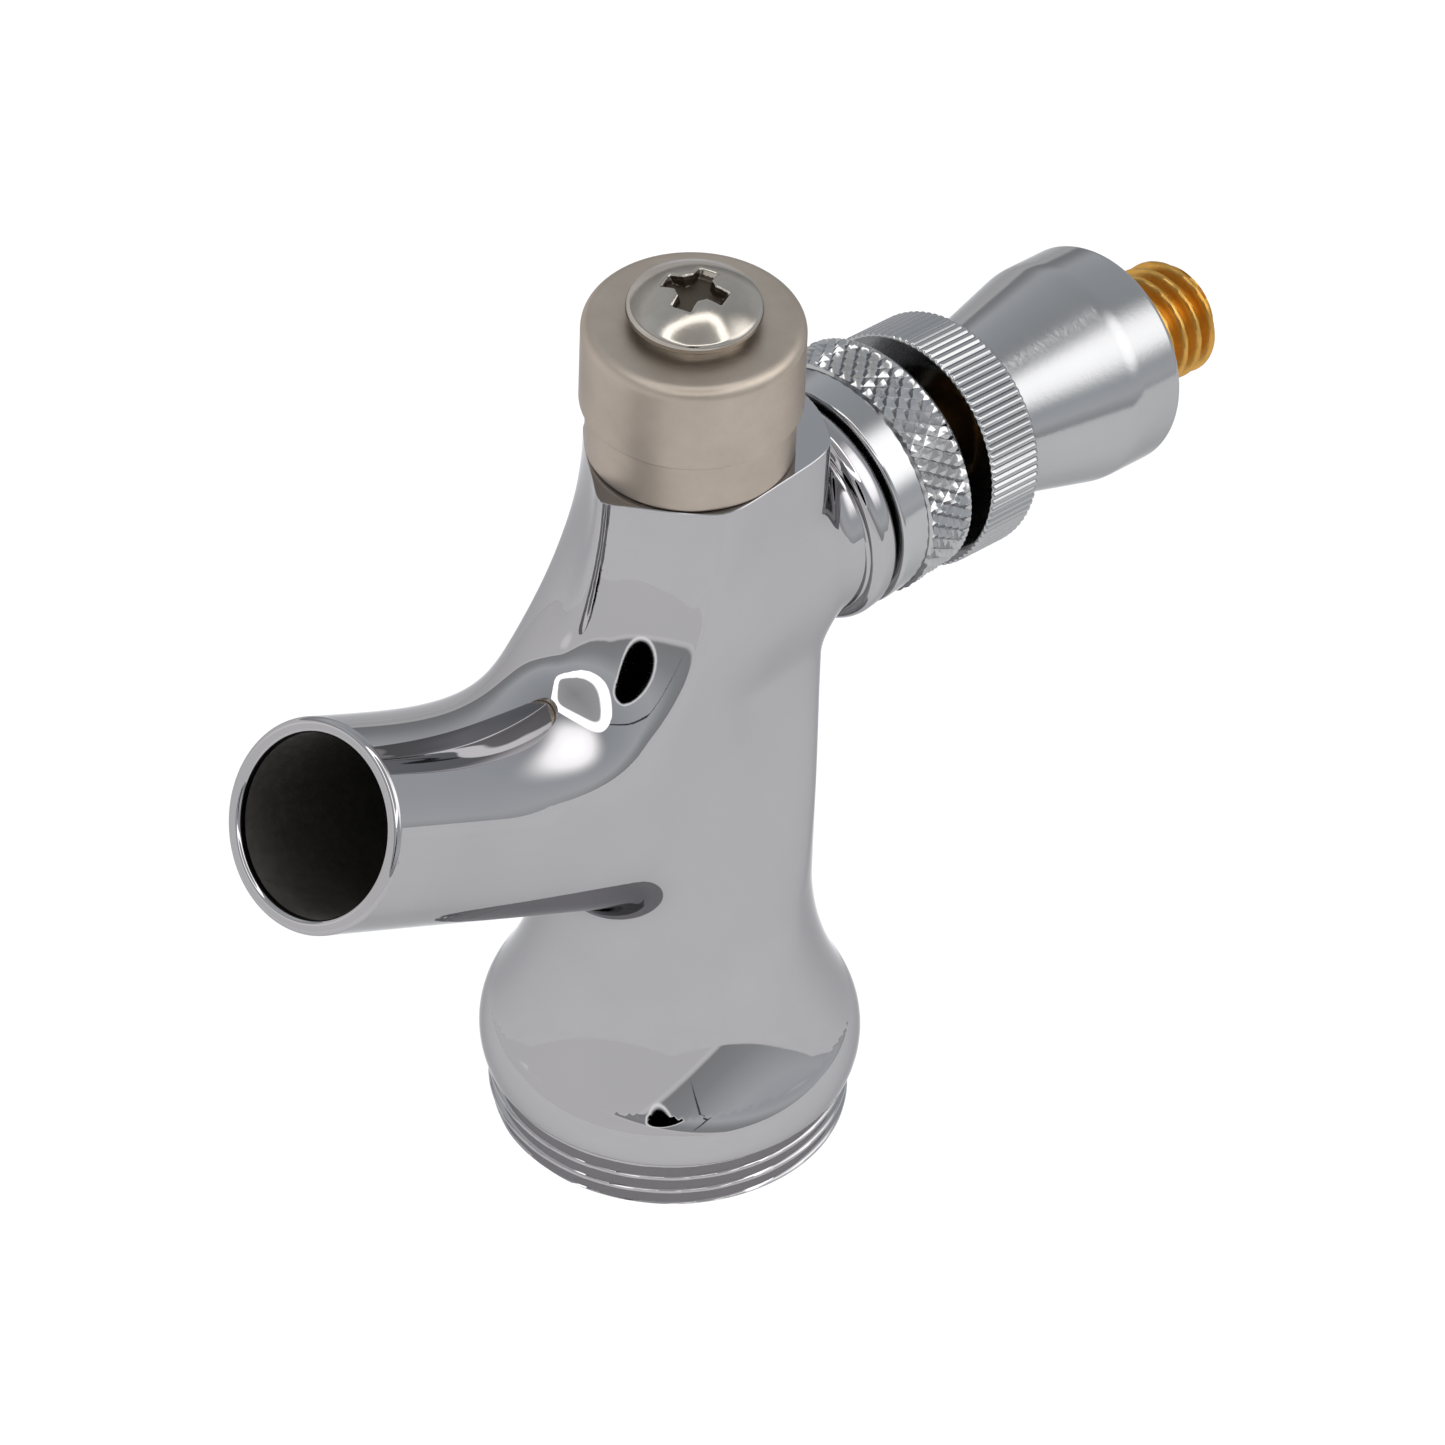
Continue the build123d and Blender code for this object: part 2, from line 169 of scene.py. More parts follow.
def arc_radius(z, arc, side):
    """Radius at height z on the circle through three (radius, height) points; side picks the branch."""
    (r1, z1), (r2, z2), (r3, z3) = arc
    d = 2 * (r1 * (z2 - z3) + r2 * (z3 - z1) + r3 * (z1 - z2))
    s1, s2, s3 = r1 ** 2 + z1 ** 2, r2 ** 2 + z2 ** 2, r3 ** 2 + z3 ** 2
    centre_r = (s1 * (z2 - z3) + s2 * (z3 - z1) + s3 * (z1 - z2)) / d
    centre_z = (s1 * (r3 - r2) + s2 * (r1 - r3) + s3 * (r2 - r1)) / d
    radius = math.hypot(r1 - centre_r, z1 - centre_z)
    return centre_r + side * np.sqrt(np.maximum(radius ** 2 - (z - centre_z) ** 2, 0))


def barrel_radius(z):
    """Radius of the turned barrel and bell."""
    bell = arc_radius(z, BELL_ARC, 1)
    waist = arc_radius(z, WAIST_ARC, -1)
    return np.where(z < BELL_ARC[2][1], bell, np.where(z < WAIST_ARC[2][1], waist, BARREL_R))


def segment_distance(p, a, b):
    """Distance from points to a line segment."""
    along = b - a
    t = np.clip((p - a) @ along / (along @ along), 0, 1)
    return np.linalg.norm(p - a - t[..., None] * along, axis=-1)


def half_width(z):
    """Half width between the flat sides, which narrow towards the front face."""
    t = (z - FLAT_TAPER[0]) / (FLAT_TAPER[1] - FLAT_TAPER[0])
    return FLAT_HALF + (barrel_radius(z) + FLAT_CLEARANCE - FLAT_HALF) * (1 - ease(t))


def casting(p):
    """The outer skin: barrel with flat sides and two front facets, spout, and the neck of the boss."""
    x, y, z = p[..., 0], p[..., 1], p[..., 2]
    barrel = np.hypot(x, y) - barrel_radius(z)
    side_x = np.sqrt(x * x + KEEL_ROUND)
    keel = KEEL_RISE * np.exp(-(x / KEEL_WIDTH) ** 2)
    for normal_x, normal_y, at_top in FACETS:
        out = at_top + FACET_SPREAD * np.maximum(FRONT_Z - z, 0) ** 2 + keel
        barrel = smooth_max(barrel, side_x * normal_x + y * normal_y - out, FACET_ROUND)
    barrel = smooth_max(barrel, np.abs(x) - half_width(z), FLAT_ROUND)

    spout = segment_distance(p, MOUTH - SPOUT_TAIL * SPOUT_AXIS, MOUTH + SPOUT_SPARE * SPOUT_AXIS) - SPOUT_R
    offset = p - MOUTH
    across = offset - (offset @ SPOUT_AXIS)[..., None] * SPOUT_AXIS
    upward = np.cross(SPOUT_AXIS, X)
    up = (across @ upward) / np.maximum(np.linalg.norm(across, axis=-1), TINY)
    saddle = ease((SADDLE_START - y) / SADDLE_RUN) * ease((up + SADDLE_LOW) / SADDLE_TURN)
    skin = soft_union(barrel, spout, SPOUT_BLEND + SADDLE_BLEND * saddle)
    skin = smooth_max(skin, np.abs(x) - np.maximum(half_width(z), SPOUT_R), TRIM_ROUND)

    neck = segment_distance(p, PIVOT - BOSS_TAIL * Y, PIVOT + BOSS_SPARE * Y) - BOSS_NECK_R
    return blend_union(skin, neck, BOSS_FILLET)


def cavity(p):
    """The hollow: vertical passage, cast channel of the spout, and the lever's port."""
    passage = segment_distance(p, PASSAGE_SPAN[0] * Z, PASSAGE_SPAN[1] * Z) - PASSAGE_R
    core_ends = [MOUTH - back * SPOUT_AXIS for back in CORE_SPAN]
    core = segment_distance(p, *core_ends) - CORE_R
    port = segment_distance(p, PIVOT - BOSS_TAIL * Y, PIVOT) - PORT_R
    return blend_union(blend_union(passage, core, CORE_FILLET), port, PORT_FILLET)


# ---------------------------------------------------------------- meshes from fields
def gradient(field, p, eps=0.02):
    """Slope of a field by central differences."""
    return np.stack([(field(p + eps * a) - field(p - eps * a)) / (2 * eps) for a in (X, Y, Z)], -1)


def onto_surface(field, p):
    """Move points along the slope until they lie on the field's zero surface."""
    least_slope, longest = 0.25, 0.2
    for _ in range(2):
        g = gradient(field, p)
        move = np.clip(field(p) / np.maximum((g * g).sum(-1), least_slope), -longest, longest)
        p = p - move[:, None] * g
    return p


def field_mesh(field, low, high, step, rounds=5):
    """Even quad mesh of a field's zero surface, facing outward."""
    axes = [np.arange(a, b + step, step) for a, b in zip(low, high)]
    value = field(np.stack(np.meshgrid(*axes, indexing="ij"), -1))
    inside = value < 0
    size = np.array(value.shape)
    cells = size - 1
    total, crossings = np.zeros((*cells, 3)), np.zeros(tuple(cells))
    for axis in range(3):
        u, v = (axis + 1) % 3, (axis + 2) % 3
        for du in (0, 1):
            for dv in (0, 1):
                start = np.zeros(3, int)
                start[u], start[v] = du, dv
                here = tuple(slice(start[i], start[i] + cells[i]) for i in range(3))
                ahead = list(here)
                ahead[axis] = slice(1, 1 + cells[axis])
                a, b = value[here], value[tuple(ahead)]
                cross = (a < 0) != (b < 0)
                t = np.where(cross, a / np.where(cross, a - b, 1), 0)
                crossings += cross
                total[..., axis] += t
                total[..., u] += du * cross
                total[..., v] += dv * cross
    active = crossings > 0
    index = np.full(tuple(cells), -1)
    index[active] = np.arange(active.sum())
    places = np.argwhere(active) + total[active] / crossings[active][:, None]
    verts = np.array(low) + places * step
    quads = []
    for axis in range(3):
        u, v = np.eye(3, dtype=int)[(axis + 1) % 3], np.eye(3, dtype=int)[(axis + 2) % 3]
        ahead = np.roll(inside, -1, axis)
        cross = inside != ahead
        keep = np.zeros_like(cross)
        keep[1:-1, 1:-1, 1:-1] = True
        nodes = np.argwhere(cross & keep)
        ring = [index[tuple((nodes - d).T)] for d in (u + v, v, 0 * u, u)]
        quad = np.stack(ring, -1)
        out = inside[tuple(nodes.T)]
        quads.append(np.where(out[:, None], quad, quad[:, ::-1]))
    quads = np.concatenate(quads)
    quads = quads[(quads >= 0).all(1)]
    for _ in range(rounds):
        near, count = np.zeros_like(verts), np.zeros(len(verts))
        for i in range(4):
            for j in ((i + 1) % 4, (i - 1) % 4):
                np.add.at(near, quads[:, i], verts[quads[:, j]])
                np.add.at(count, quads[:, i], 1)
        verts = onto_surface(field, 0.5 * verts + 0.5 * near / np.maximum(count, 1)[:, None])
    return verts, quads


# ---------------------------------------------------------------- turned shapes
def rounded(profile, arc_step=0.12, guard=0.04):
    """Half section from (radius, height) corners; a third number rounds that corner.

    Each long straight run keeps a point close to both of its ends, so that its shading stays flat.
    """
    least_bend, least_steps = 0.02, 4
    corners = [np.array(c[:2], float) for c in profile]
    points = []
    for i, corner in enumerate(profile):
        here = corners[i]
        if len(corner) < 3 or i in (0, len(profile) - 1):
            points.append(here)
            continue
        back, on = corners[i - 1] - here, corners[i + 1] - here
        back, on = back / np.linalg.norm(back), on / np.linalg.norm(on)
        half = math.acos(float(np.clip(back @ on, -1, 1))) / 2
        if half > math.pi / 2 - least_bend:
            points.append(here)
            continue
        radius = corner[2]
        centre = here + (back + on) / np.linalg.norm(back + on) * radius / math.sin(half)
        first = here + back * radius / math.tan(half) - centre
        last = here + on * radius / math.tan(half) - centre
        sweep = math.atan2(first[0] * last[1] - first[1] * last[0], float(first @ last))
        steps = max(least_steps, math.ceil(abs(sweep) * radius / arc_step))
        for k in range(steps + 1):
            c, s = math.cos(sweep * k / steps), math.sin(sweep * k / steps)
            points.append(centre + [c * first[0] - s * first[1], s * first[0] + c * first[1]])
    guarded = [points[0]]
    for a, b in zip(points, points[1:]):
        run = np.linalg.norm(b - a)
        if run > 4 * guard and run > 2 * arc_step:
            guarded += [a + (b - a) * guard / run, b - (b - a) * guard / run]
        guarded.append(b)
    return guarded


def frame_of(axis):
    """Two directions across an axis; for an axis in the mirror plane the first is +X."""
    return X, np.cross(axis, X)


def turn(points, origin, axis, count, relief=None):
    """Surface turned from a half section; relief(angle, radius, height) may change each radius."""
    e1, e2 = frame_of(axis)
    angle = np.arange(count) * TURN / count
    rings = []
    for r, h in points:
        radius = np.full(count, float(r))
        if relief is not None:
            radius = relief(angle, radius, h)
        rings.append(origin + h * axis + radius[:, None] * (np.cos(angle)[:, None] * e1
                                                            + np.sin(angle)[:, None] * e2))
    verts = np.concatenate(rings)
    here = np.arange(count)
    faces = []
    for k in range(len(points) - 1):
        a, b = k * count + here, k * count + (here + 1) % count
        faces.append(np.stack([a, b, b + count, a + count], -1))
    return verts, np.concatenate(faces)


def triangle_wave(t):
    """From 0 up to 1 and back, once for each whole step of t."""
    return 1 - np.abs((t % 1) * 2 - 1)


def thread_height(phase):
    """Height of a 60 degree thread, from 0 at the root to 1 at the crest, for a phase of one pitch."""
    root_flat, flank = 0.2, 0.66
    return ease((triangle_wave(phase) - root_flat) / flank)


# ---------------------------------------------------------------- objects
def make_object(name, verts, faces, sharp=35):
    """Mesh object from millimetre points."""
    mesh = bpy.data.meshes.new(name)
    mesh.from_pydata((np.asarray(verts) * MM).tolist(), [], [list(map(int, f)) for f in faces])
    return finish_object(name, mesh, sharp)


def finish_object(name, mesh, sharp):
    """Clean a mesh, shade it smooth with sharp edges over an angle, and put it in the scene."""
    bm = bmesh.new()
    bm.from_mesh(mesh)
    bmesh.ops.remove_doubles(bm, verts=bm.verts, dist=1e-8)
    bmesh.ops.recalc_face_normals(bm, faces=bm.faces)
    bm.to_mesh(mesh)
    bm.free()
    mesh.polygons.foreach_set("use_smooth", [True] * len(mesh.polygons))
    mesh.set_sharp_from_angle(angle=math.radians(sharp))
    obj = bpy.data.objects.new(name, mesh)
    bpy.context.scene.collection.objects.link(obj)
    return obj


def dress(obj, body, slot, material, *nodes):
    """Give a piece its material and body, and let it stand for CAD nodes; slot is not used."""
    obj.data.materials.append(material)
    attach(obj, body)
    if nodes:
        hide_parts(*nodes)
    return obj


# ---------------------------------------------------------------- the casting
OUTER, INNER = 1, 2


def add_skin(bm, layer, verts, quads, tag):
    """Put a field's mesh into the casting and tag its faces."""
    made = [bm.verts.new(v) for v in verts]
    for quad in quads:
        bm.faces.new([made[i] for i in quad])[layer] = tag


def cut(bm, layer, tag, point, normal, where=lambda c: True):
    """Cut tagged faces with a plane, drop what is in front of it, and return the rim in order.

    Only faces whose centre passes the test of where are cut. Edges and vertices are listed once each, in
    the mesh's own order, so that every run makes the same mesh.
    """
    faces = [f for f in bm.faces if f[layer] == tag and where(f.calc_center_median())]
    edges = dict.fromkeys(e for f in faces for e in f.edges)
    verts = dict.fromkeys(v for f in faces for v in f.verts)
    found = bmesh.ops.bisect_plane(bm, geom=[*verts, *edges, *faces], plane_co=Vector(point),
                                   plane_no=Vector(normal), clear_outer=True, dist=1e-3)
    rim = [e for e in found["geom_cut"] if isinstance(e, bmesh.types.BMEdge) and e.is_valid]
    return ordered([e for e in rim if len(e.link_faces) == 1])


def ordered(edges):
    """Vertices of one closed loop of edges, in order."""
    near = {}
    for e in edges:
        for v in e.verts:
            near.setdefault(v, []).append(e.other_vert(v))
    start = edges[0].verts[0]
    loop, last, here = [start], None, start
    while True:
        ahead = [v for v in near[here] if v is not last]
        last, here = here, ahead[0]
        if here is start:
            return loop
        loop.append(here)


def join(bm, layer, ring, ahead, tag=0):
    """Quads between two rings with the same number of points."""
    count = len(ring)
    for i in range(count):
        face = bm.faces.new([ring[i], ring[(i + 1) % count], ahead[(i + 1) % count], ahead[i]])
        face[layer] = tag


def extend(bm, layer, rim, origin, axis, points, relief=None, tag=0):
    """Carry on from a rim with rings turned about an axis, and return the last ring."""
    origin, axis = np.array(origin, float), np.array(axis, float)
    e1, e2 = frame_of(axis)
    flat = np.array([v.co for v in rim]) - origin
    angle = np.arctan2(flat @ e2, flat @ e1)
    ring = rim
    for r, h in points:
        radius = np.full(len(rim), float(r)) if relief is None else relief(angle, float(r), h)
        spots = origin + h * axis + radius[:, None] * (np.cos(angle)[:, None] * e1
                                                       + np.sin(angle)[:, None] * e2)
        ahead = [bm.verts.new(s) for s in spots]
        join(bm, layer, ring, ahead, tag)
        ring = ahead
    return ring


def snap_round(rim, origin, axis, radius):
    """Put the points of a rim exactly on a circle."""
    for v in rim:
        out = np.array(v.co) - origin
        out = out - (out @ axis) * axis
        v.co = Vector(np.array(v.co) + out * (radius / np.linalg.norm(out) - 1))


def bridge(bm, layer, one, other):
    """Join two loops that differ in their number of points."""
    def edges_of(loop):
        return [bm.edges.get((loop[i], loop[(i + 1) % len(loop)])) for i in range(len(loop))]
    made = bmesh.ops.bridge_loops(bm, edges=edges_of(one) + edges_of(other))
    for face in made["faces"]:
        face[layer] = INNER


def inlet_relief(angle, r, h):
    """Helical coupling thread on the part of the inlet that is turned down to its root."""
    first_turn, runout_start, runout, lead_in_slope = 0.06, THREAD_TOP + 0.1, 0.5, 1.6
    if abs(r - INLET_ROOT_R) > TINY or not 0 < h < THREAD_TOP:
        return r + 0 * angle
    ridge = (INLET_R - INLET_ROOT_R) * thread_height(h / INLET_PITCH - angle / TURN + first_turn)
    fade = ease((runout_start - h) / runout)
    return np.minimum(r + ridge * fade, INLET_ROOT_R + lead_in_slope * h)


def build_casting():
    """Watertight casting: smooth skin, turned ends, and its hollow."""
    bm = bmesh.new()
    layer = bm.faces.layers.int.new("skin")
    verts, quads = field_mesh(casting, *SKIN_BOX, SKIN_STEP)
    add_skin(bm, layer, verts, quads, OUTER)
    verts, quads = field_mesh(cavity, *HOLLOW_BOX, HOLLOW_STEP, rounds=2)
    add_skin(bm, layer, verts, quads[:, ::-1], INNER)

    ground, down = np.zeros(3), -Z
    rim_round, lip_cut, top_chamfer = 0.5, 0.35, 0.06
    boss_floor, boss_side = 42, 12        # the boss lies above the one and past the other
    join_gap = 1                          # the hollow's skin ends this far from the turned walls
    mouth = cut(bm, layer, OUTER, MOUTH - rim_round * SPOUT_AXIS, SPOUT_AXIS)
    base = cut(bm, layer, OUTER, (THREAD_TOP + lip_cut) * Z, down)
    top = cut(bm, layer, OUTER, (FRONT_Z - top_chamfer) * Z, Z, lambda c: c.y < boss_side)
    boss = cut(bm, layer, OUTER, BOSS_CUT * Y, Y, lambda c: c.z > boss_floor)
    core = cut(bm, layer, INNER, MOUTH - (SPOUT_BORE_LENGTH + join_gap / 2) * SPOUT_AXIS, SPOUT_AXIS)
    seat = cut(bm, layer, INNER, (SEAT_Z + join_gap) * Z, down)
    guide = cut(bm, layer, INNER, (GUIDE_Z - join_gap) * Z, Z)
    port = cut(bm, layer, INNER, (BALL_ROOM_FLOOR - join_gap) * Y, Y)

    snap_round(mouth, MOUTH, SPOUT_AXIS, SPOUT_R)
    bore_round = 0.4
    lip = rounded([(SPOUT_R, -rim_round), (SPOUT_R, 0, rim_round), (SPOUT_BORE_R, 0, bore_round),
                   (SPOUT_BORE_R, -2 * bore_round)], arc_step=0.07)
    ring = extend(bm, layer, mouth, MOUTH, SPOUT_AXIS, lip[1:])
    liner = [(SPOUT_BORE_R, -SPOUT_BORE_LENGTH), (CORE_R, -SPOUT_BORE_LENGTH)]
    bridge(bm, layer, extend(bm, layer, ring, MOUTH, SPOUT_AXIS, liner, tag=INNER), core)

    lip_r, thread_rings = BELL_ARC[0][0], 84
    thread = [(INLET_ROOT_R, h) for h in np.linspace(THREAD_TOP - 0.02, 0, thread_rings)]
    turned_end = [(lip_r + 0.06, THREAD_TOP + 0.17), (lip_r - 0.06, THREAD_TOP + 0.05),
                  (lip_r - 0.2, THREAD_TOP), *thread]
    socket = rounded([(INLET_ROOT_R, 0), (SOCKET_R, 0, 0.25), (SOCKET_R, SOCKET_DEPTH),
                      (GASKET_R, SOCKET_DEPTH)])
    chamber = [(GASKET_R, CHAMBER_START), (CHAMBER_R, CHAMBER_START), (CHAMBER_R, SEAT_Z),
               (PASSAGE_R, SEAT_Z), (PASSAGE_R, SEAT_Z + 0.6)]
    ring = extend(bm, layer, base, ground, Z, turned_end, inlet_relief)
    ring = extend(bm, layer, ring, ground, Z, socket[1:])
    bridge(bm, layer, extend(bm, layer, ring, ground, Z, chamber, tag=INNER), seat)

    edge_shrink, chamfer = 0.994, 0.3
    inset = [bm.verts.new((v.co.x * edge_shrink, v.co.y * edge_shrink, FRONT_Z)) for v in top]
    join(bm, layer, top, inset)
    guide_mouth = [(GUIDE_R + chamfer, FRONT_Z), (GUIDE_R, FRONT_Z - chamfer)]
    ring = extend(bm, layer, inset, ground, Z, guide_mouth)
    bore = [(GUIDE_R, GUIDE_Z), (PASSAGE_R, GUIDE_Z), (PASSAGE_R, GUIDE_Z - 0.6)]
    bridge(bm, layer, extend(bm, layer, ring, ground, Z, bore, tag=INNER), guide)

    centre = PIVOT * [1, 0, 1]
    snap_round(boss, centre + BOSS_CUT * Y, Y, BOSS_NECK_R)
    bead_r, bead_end = 9.6, 14.1
    collar = rounded([(BOSS_NECK_R, BOSS_CUT), (BOSS_NECK_R, 11.3, 0.25), (bead_r, 11.32, 0.98),
                      (bead_r, bead_end, 1.35), (SPIGOT_R, bead_end), (SPIGOT_R, SPIGOT_END),
                      (BALL_ROOM_R, SPIGOT_END), (BALL_ROOM_R, BALL_ROOM_FLOOR), (PORT_R, BALL_ROOM_FLOOR),
                      (PORT_R, BALL_ROOM_FLOOR - 0.5)])
    bridge(bm, layer, extend(bm, layer, boss, centre, Y, collar[1:]), port)

    bmesh.ops.scale(bm, vec=Vector((MM, MM, MM)), verts=bm.verts)
    mesh = bpy.data.meshes.new("cast_body")
    bm.to_mesh(mesh)
    bm.free()
    obj = finish_object("cast_body", mesh, 38)
    true_normals(obj.data, casting, OUTER)
    return obj


def true_normals(mesh, field, tag):
    """Shade the tagged faces with the field's own slope, and give inner ones the second material.

    Corners whose normal is far from that slope belong to a sharp edge, and stay as they are.
    """
    least_match = 0.9
    skin = np.zeros(len(mesh.polygons), int)
    mesh.attributes["skin"].data.foreach_get("value", skin)
    mesh.polygons.foreach_set("material_index", (skin == INNER).astype(int))
    points = np.zeros(len(mesh.vertices) * 3)
    mesh.vertices.foreach_get("co", points)
    slope = gradient(field, points.reshape(-1, 3) / MM)
    slope /= np.linalg.norm(slope, axis=1)[:, None]
    corner = np.zeros(len(mesh.loops) * 3)
    mesh.corner_normals.foreach_get("vector", corner)
    corner = corner.reshape(-1, 3)
    loop_vertex = np.zeros(len(mesh.loops), int)
    mesh.loops.foreach_get("vertex_index", loop_vertex)
    totals = np.zeros(len(mesh.polygons), int)
    mesh.polygons.foreach_get("loop_total", totals)
    on_skin = np.repeat(skin == tag, totals)
    near = np.einsum("ij,ij->i", corner, slope[loop_vertex]) > least_match
    use = on_skin & near
    corner[use] = slope[loop_vertex[use]]
    mesh.normals_split_custom_set(corner.tolist())


# ---------------------------------------------------------------- bonnet, lever, cap
def turned_object(name, profile, origin, axis, count=192, relief=None, sharp=35):
    """Ring turned from rounded corners, the last of which is joined to the first."""
    points = rounded([*profile, profile[0][:2]])
    verts, faces = turn(points, np.array(origin, float), axis, count, relief)
    return make_object(name, verts, faces, sharp)


def bonnet():
    """Bonnet with a plain band and a diamond knurl, whose creases run along the mesh's own edges."""
    diamonds, row, depth = 50, 1.5, 0.42
    peak_cut, end_depth = 0.85, 0.3       # where diamonds go flat, and the share of depth at both ends
    knurl_start, band_r, top_r, end_round = 16.91, 9.64, 9.95, 0.3
    slope, count = 0.12, 4 * diamonds
    mouth_r, throat_r, room_r, room_end = 5.1, 4.7, 7.6, 18.5
    first, last = knurl_start + slope, BONNET_END - end_round
    quarters = round((last - first) / (row / 4))
    knurl = [(top_r, first + (last - first) * k / quarters) for k in range(quarters + 1)]
    outside = rounded([(SPIGOT_R, BONNET_START), (band_r, BONNET_START, 0.3), (band_r, knurl_start)])
    inside = rounded([(top_r - end_round, BONNET_END), (mouth_r, BONNET_END, 0.2), (throat_r, room_end),
                      (room_r, room_end), (room_r, SPIGOT_END), (SPIGOT_R, SPIGOT_END),
                      (SPIGOT_R, BONNET_START)])

    def relief(angle, radius, h):
        if radius[0] < top_r - TINY:
            return radius
        around, along = angle * diamonds / TURN, (h - first) / (last - first) * quarters / 4
        peak = np.minimum(triangle_wave(around + along), triangle_wave(around - along))
        share = end_depth if h in (first, last) else 1
        return radius - depth * (peak_cut - np.minimum(peak, peak_cut)) * share

    verts, faces = turn([*outside, *knurl, *inside], PIVOT * [1, 0, 1], Y, count, relief)
    start = len(outside) * count
    split = []
    for n, (a, b, c, d) in enumerate(faces):
        ring, here = divmod(n - start, count)
        if not 0 <= ring < quarters:
            split.append((a, b, c, d))
        elif (ring + here) % 2:
            split += [(a, b, d), (b, c, d)]
        else:
            split += [(a, b, c), (a, c, d)]
    return make_object("knurled_bonnet", verts, split, 24)


def lever_collar():
    """Collar of the lever: knurled flange, waist, and a cone that ends in a short skirt."""
    start, flange_end, skirt_start, end = 9.6, 14.86, 27.2, 32.14
    flange_r, waist_r, skirt_r, bore_r, stud_room_r = 9.67, 6.3, 9.06, 4.0, 4.9
    teeth, tooth_depth, tooth_flank, rim_width = 92, 0.16, 1.5, 0.32
    steps_per_tooth = 8

    def relief(angle, radius, h):
        if radius[0] < flange_r - rim_width or h > flange_end + 0.01:
            return radius
        tooth = np.clip(tooth_flank * triangle_wave(angle * teeth / TURN), 0, 1)
        rim = (radius - (flange_r - rim_width)) / rim_width
        return radius - tooth_depth * (1 - tooth) * rim

    corners = [(bore_r, start), (flange_r, start, 0.3), (flange_r, flange_end, 0.3),
               (waist_r, flange_end, 0.9), (skirt_r, skirt_start, 6.0), (skirt_r, end, 0.5),
               (stud_room_r, end), (bore_r, end - 0.9)]
    count = teeth * steps_per_tooth
    return turned_object("knurled_collar", corners, PIVOT, LEVER_AXIS, count, relief, sharp=30)


def half_circle(centre, radius, low, high, steps=24):
    """Points of a ball's half section between two heights."""
    a, b = math.asin((low - centre) / radius), math.asin((high - centre) / radius)
    angles = [a + (b - a) * k / steps for k in range(steps + 1)]
    return [(radius * math.cos(t), centre + radius * math.sin(t)) for t in angles]


def lever_stem():
    """Brass lever: finger, ball, stem, and a stud with a helical thread."""
    pitch, stud_start, end = 25.4 / 16, 32.14, 42.12
    root = STUD_R - THREAD_DEPTH * pitch
    tip_inset, chamfer_slope, ring_step = 0.25, 1.1, 0.09
    finger_z, finger_r, finger_top = -14.5, 2.0, 1.42
    ball_r, ball_low, ball_high = 5.0, -4.8, 3.84
    neck_r, stem_r, stem_start = 3.2, 4.0, 9.6

    def relief(angle, radius, h):
        if h < stud_start:
            return radius
        ridge = (STUD_R - root) * thread_height((h - stud_start) / pitch - angle / TURN)
        chamfer = root - tip_inset + chamfer_slope * (end - h)
        return np.minimum(np.minimum(radius + ridge, STUD_R), chamfer) if h < end else radius

    finger = half_circle(finger_z, finger_r, finger_z - finger_r, finger_z + finger_top)
    ball = half_circle(0, ball_r, ball_low, ball_high)
    stem = [(neck_r, stem_start), (stem_r, stem_start), (stem_r, stud_start - 0.9)]
    stud = [(root, h) for h in np.arange(stud_start - 0.05, end, ring_step)]
    points = [*finger, *ball, *stem, *stud, (root - tip_inset, end), (0, end)]
    verts, faces = turn(points, PIVOT, LEVER_AXIS, 120, relief)
    return make_object("brass_stem", verts, faces, 40)


def spring_cap():
    """Pressed cap over the top of the spring."""
    hole_r, wall, roof = 2.5, 0.35, 0.4
    corners = [(hole_r, CAP_TOP - roof), (CAP_R - wall, CAP_TOP - roof, 0.65), (CAP_R - wall, CAP_BOTTOM),
               (CAP_R, CAP_BOTTOM, 0.12), (CAP_R, CAP_TOP, 1.0), (hole_r, CAP_TOP)]
    return turned_object("pressed_cap", corners, (0, 0, 0), Z, 256)


def spring_cup():
    """Pressed cup under the spring."""
    hole_r, wall, floor, top = 3.8, 0.45, 0.5, 74.4
    corners = [(hole_r, FRONT_Z), (CUP_R, FRONT_Z, 0.45), (CUP_R, top), (CUP_R - wall, top),
               (CUP_R - wall, FRONT_Z + floor), (hole_r, FRONT_Z + floor)]
    return turned_object("pressed_cup", corners, (0, 0, 0), Z, 256)


def coil_spring():
    """Closing spring: a round wire along a helix, drawn at the length that the closed valve leaves it."""
    wire_r, turns, around, steps = 0.5, 4.5, 14, 270
    low, high = (corner[2] for corner in box_mm("closing_spring"))
    coil_r = box_mm("closing_spring")[1][0] - wire_r
    rise = high - low - 2 * wire_r
    t = np.linspace(0, 1, steps + 1)
    angle, height = turns * TURN * t, low + wire_r + rise * t
    out = np.stack([np.cos(angle), np.sin(angle), 0 * t], -1)
    climb = np.stack([-np.sin(angle) * coil_r, np.cos(angle) * coil_r, 0 * t + rise / (turns * TURN)], -1)
    climb /= np.linalg.norm(climb, axis=1)[:, None]
    across = np.cross(climb, out)
    centre = coil_r * out + height[:, None] * Z
    around_wire = np.arange(around) * TURN / around
    verts = [centre + wire_r * (math.cos(a) * out + math.sin(a) * across) for a in around_wire]
    verts = np.stack(verts, 1).reshape(-1, 3)
    faces = [[k * around + i, k * around + (i + 1) % around, (k + 1) * around + (i + 1) % around,
              (k + 1) * around + i] for k in range(steps) for i in range(around)]
    faces += [list(range(around)), [steps * around + i for i in range(around)]]
    return make_object("spring_coil", verts, faces)


